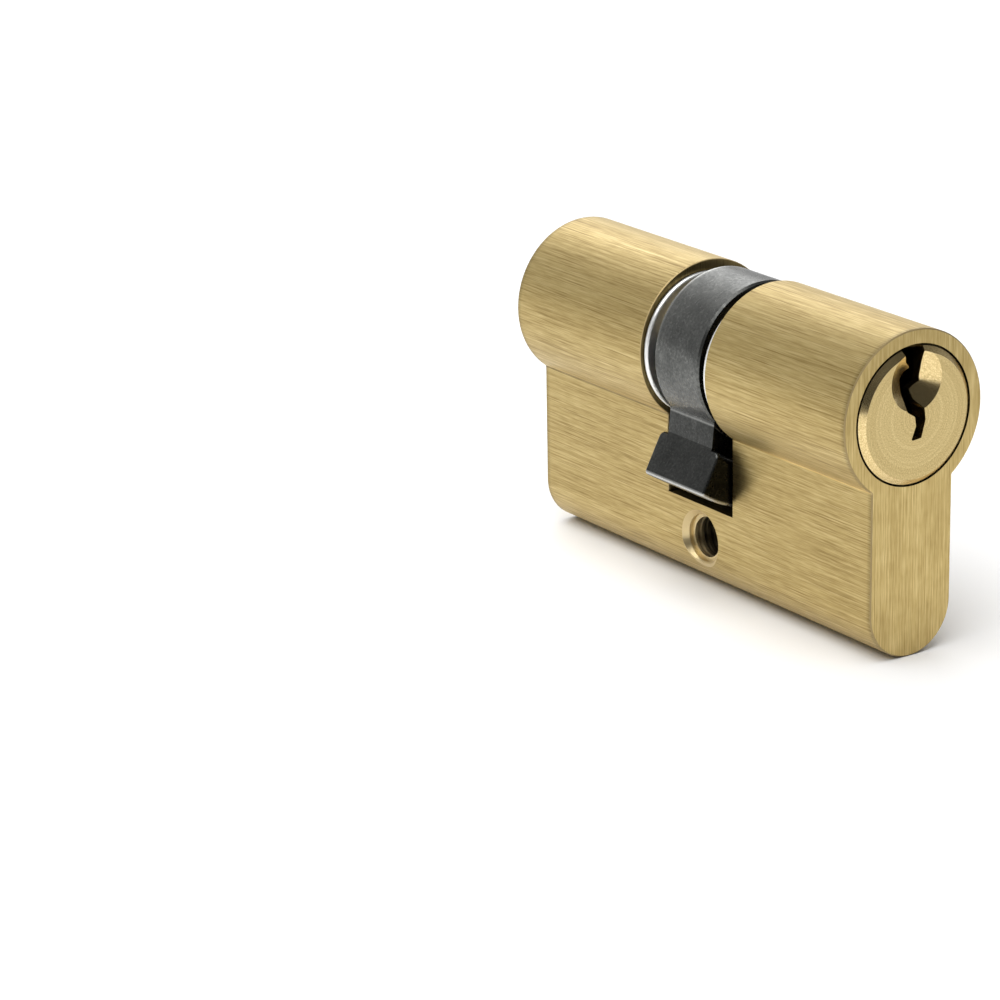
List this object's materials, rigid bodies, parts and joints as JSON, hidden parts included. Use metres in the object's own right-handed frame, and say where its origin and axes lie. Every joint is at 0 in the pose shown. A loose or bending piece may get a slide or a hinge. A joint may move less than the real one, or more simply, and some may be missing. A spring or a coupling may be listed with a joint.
{
  "type": "euro cylinder",
  "caption": "Keyed-both-ends pin tumbler lock cylinder in the euro profile: round head on a fin, turning plugs at both ends and a driving cam in the middle slot.",
  "frame": {"origin": "centre of the M5 fixing-screw hole, in the middle of the fin", "axes": "+Y along the plugs from the front end to the rear end, +Z from the fin up to the round head, +X to the right seen from the front"},
  "size_m": [0.017, 0.055, 0.033],
  "materials": {
    "brushed_brass": "satin",
    "turned_brass": "satin",
    "bright_steel": "polished",
    "sintered_steel": "matte",
    "hardened_steel": "satin",
    "pin_brass": "polished",
    "pin_steel": "satin",
    "spring_steel": "satin",
    "plug_brass": "satin"
  },
  "bodies": {
    "housing": {"cylinder_body": "brushed_brass", "front_chamber_plug_1": "plug_brass", "front_chamber_plug_2": "plug_brass", "front_chamber_plug_3": "plug_brass", "front_chamber_plug_4": "plug_brass", "front_chamber_plug_5": "plug_brass", "front_pin_spring_1": "spring_steel", "front_pin_spring_2": "spring_steel", "front_pin_spring_3": "spring_steel", "front_pin_spring_4": "spring_steel", "front_pin_spring_5": "spring_steel", "rear_chamber_plug_1": "plug_brass", "rear_chamber_plug_2": "plug_brass", "rear_chamber_plug_3": "plug_brass", "rear_chamber_plug_4": "plug_brass", "rear_chamber_plug_5": "plug_brass", "rear_pin_spring_1": "spring_steel", "rear_pin_spring_2": "spring_steel", "rear_pin_spring_3": "spring_steel", "rear_pin_spring_4": "spring_steel", "rear_pin_spring_5": "spring_steel"},
    "front_plug": {"front_plug": "turned_brass", "front_clip": "bright_steel"},
    "rear_plug": {"rear_plug": "turned_brass", "rear_clip": "bright_steel"},
    "cam": {"cam": "sintered_steel"},
    "front_coupler": {"front_coupler": "hardened_steel", "coupler_thrust_pin": "bright_steel"},
    "rear_coupler": {"rear_coupler": "hardened_steel"},
    "front_key_pin_1": {"front_key_pin_1": "pin_brass"},
    "front_key_pin_2": {"front_key_pin_2": "pin_brass"},
    "front_key_pin_3": {"front_key_pin_3": "pin_brass"},
    "front_key_pin_4": {"front_key_pin_4": "pin_brass"},
    "front_key_pin_5": {"front_key_pin_5": "pin_brass"},
    "rear_key_pin_1": {"rear_key_pin_1": "pin_brass"},
    "rear_key_pin_2": {"rear_key_pin_2": "pin_brass"},
    "rear_key_pin_3": {"rear_key_pin_3": "pin_brass"},
    "rear_key_pin_4": {"rear_key_pin_4": "pin_brass"},
    "rear_key_pin_5": {"rear_key_pin_5": "pin_brass"},
    "front_driver_pin_1": {"front_driver_pin_1": "pin_steel"},
    "front_driver_pin_2": {"front_driver_pin_2": "pin_steel"},
    "front_driver_pin_3": {"front_driver_pin_3": "pin_steel"},
    "front_driver_pin_4": {"front_driver_pin_4": "pin_steel"},
    "front_driver_pin_5": {"front_driver_pin_5": "pin_steel"},
    "rear_driver_pin_1": {"rear_driver_pin_1": "pin_steel"},
    "rear_driver_pin_2": {"rear_driver_pin_2": "pin_steel"},
    "rear_driver_pin_3": {"rear_driver_pin_3": "pin_steel"},
    "rear_driver_pin_4": {"rear_driver_pin_4": "pin_steel"},
    "rear_driver_pin_5": {"rear_driver_pin_5": "pin_steel"}
  },
  "joints": [
    {"name": "front_plug_turn", "type": "hinge", "parent": "housing", "child": "front_plug", "pos_m": [0, 0, 0.0189], "axis": [0, 1, 0], "continuous": true},
    {"name": "rear_plug_turn", "type": "hinge", "parent": "housing", "child": "rear_plug", "pos_m": [0, 0, 0.0189], "axis": [0, 1, 0], "continuous": true},
    {"name": "cam_turn", "type": "hinge", "parent": "housing", "child": "cam", "pos_m": [0, 0, 0.0189], "axis": [0, 1, 0], "continuous": true},
    {"name": "front_coupler_slide", "type": "slide", "parent": "front_plug", "child": "front_coupler", "axis": [0, 1, 0], "range_m": [-0.0015, 0]},
    {"name": "rear_coupler_slide", "type": "slide", "parent": "rear_plug", "child": "rear_coupler", "axis": [0, 1, 0], "range_m": [-0.0015, 0]},
    {"name": "front_key_pin_1_lift", "type": "slide", "parent": "front_plug", "child": "front_key_pin_1", "axis": [0, 0, 1], "range_m": [0, 0.00385]},
    {"name": "front_key_pin_2_lift", "type": "slide", "parent": "front_plug", "child": "front_key_pin_2", "axis": [0, 0, 1], "range_m": [0, 0.00265]},
    {"name": "front_key_pin_3_lift", "type": "slide", "parent": "front_plug", "child": "front_key_pin_3", "axis": [0, 0, 1], "range_m": [0, 0.00325]},
    {"name": "front_key_pin_4_lift", "type": "slide", "parent": "front_plug", "child": "front_key_pin_4", "axis": [0, 0, 1], "range_m": [0, 0.00205]},
    {"name": "front_key_pin_5_lift", "type": "slide", "parent": "front_plug", "child": "front_key_pin_5", "axis": [0, 0, 1], "range_m": [0, 0.00305]},
    {"name": "rear_key_pin_1_lift", "type": "slide", "parent": "rear_plug", "child": "rear_key_pin_1", "axis": [0, 0, 1], "range_m": [0, 0.00385]},
    {"name": "rear_key_pin_2_lift", "type": "slide", "parent": "rear_plug", "child": "rear_key_pin_2", "axis": [0, 0, 1], "range_m": [0, 0.00265]},
    {"name": "rear_key_pin_3_lift", "type": "slide", "parent": "rear_plug", "child": "rear_key_pin_3", "axis": [0, 0, 1], "range_m": [0, 0.00325]},
    {"name": "rear_key_pin_4_lift", "type": "slide", "parent": "rear_plug", "child": "rear_key_pin_4", "axis": [0, 0, 1], "range_m": [0, 0.00205]},
    {"name": "rear_key_pin_5_lift", "type": "slide", "parent": "rear_plug", "child": "rear_key_pin_5", "axis": [0, 0, 1], "range_m": [0, 0.00305]},
    {"name": "front_driver_pin_1_travel", "type": "slide", "parent": "housing", "child": "front_driver_pin_1", "axis": [0, 0, 1], "range_m": [-0.0026, 0], "stiffness_N_per_m": 150, "springref_m": 0.003, "deforming": ["front_pin_spring_1"]},
    {"name": "front_driver_pin_2_travel", "type": "slide", "parent": "housing", "child": "front_driver_pin_2", "axis": [0, 0, 1], "range_m": [-0.0026, 0], "stiffness_N_per_m": 150, "springref_m": 0.003, "deforming": ["front_pin_spring_2"]},
    {"name": "front_driver_pin_3_travel", "type": "slide", "parent": "housing", "child": "front_driver_pin_3", "axis": [0, 0, 1], "range_m": [-0.0026, 0], "stiffness_N_per_m": 150, "springref_m": 0.003, "deforming": ["front_pin_spring_3"]},
    {"name": "front_driver_pin_4_travel", "type": "slide", "parent": "housing", "child": "front_driver_pin_4", "axis": [0, 0, 1], "range_m": [-0.0026, 0], "stiffness_N_per_m": 150, "springref_m": 0.003, "deforming": ["front_pin_spring_4"]},
    {"name": "front_driver_pin_5_travel", "type": "slide", "parent": "housing", "child": "front_driver_pin_5", "axis": [0, 0, 1], "range_m": [-0.0026, 0], "stiffness_N_per_m": 150, "springref_m": 0.003, "deforming": ["front_pin_spring_5"]},
    {"name": "rear_driver_pin_1_travel", "type": "slide", "parent": "housing", "child": "rear_driver_pin_1", "axis": [0, 0, 1], "range_m": [-0.0026, 0], "stiffness_N_per_m": 150, "springref_m": 0.003, "deforming": ["rear_pin_spring_1"]},
    {"name": "rear_driver_pin_2_travel", "type": "slide", "parent": "housing", "child": "rear_driver_pin_2", "axis": [0, 0, 1], "range_m": [-0.0026, 0], "stiffness_N_per_m": 150, "springref_m": 0.003, "deforming": ["rear_pin_spring_2"]},
    {"name": "rear_driver_pin_3_travel", "type": "slide", "parent": "housing", "child": "rear_driver_pin_3", "axis": [0, 0, 1], "range_m": [-0.0026, 0], "stiffness_N_per_m": 150, "springref_m": 0.003, "deforming": ["rear_pin_spring_3"]},
    {"name": "rear_driver_pin_4_travel", "type": "slide", "parent": "housing", "child": "rear_driver_pin_4", "axis": [0, 0, 1], "range_m": [-0.0026, 0], "stiffness_N_per_m": 150, "springref_m": 0.003, "deforming": ["rear_pin_spring_4"]},
    {"name": "rear_driver_pin_5_travel", "type": "slide", "parent": "housing", "child": "rear_driver_pin_5", "axis": [0, 0, 1], "range_m": [-0.0026, 0], "stiffness_N_per_m": 150, "springref_m": 0.003, "deforming": ["rear_pin_spring_5"]}
  ],
  "couplings": [
    {"joint": "cam_turn", "follows": "front_plug_turn", "ratio": 1},
    {"joint": "rear_coupler_slide", "follows": "front_coupler_slide", "ratio": 1}
  ]
}
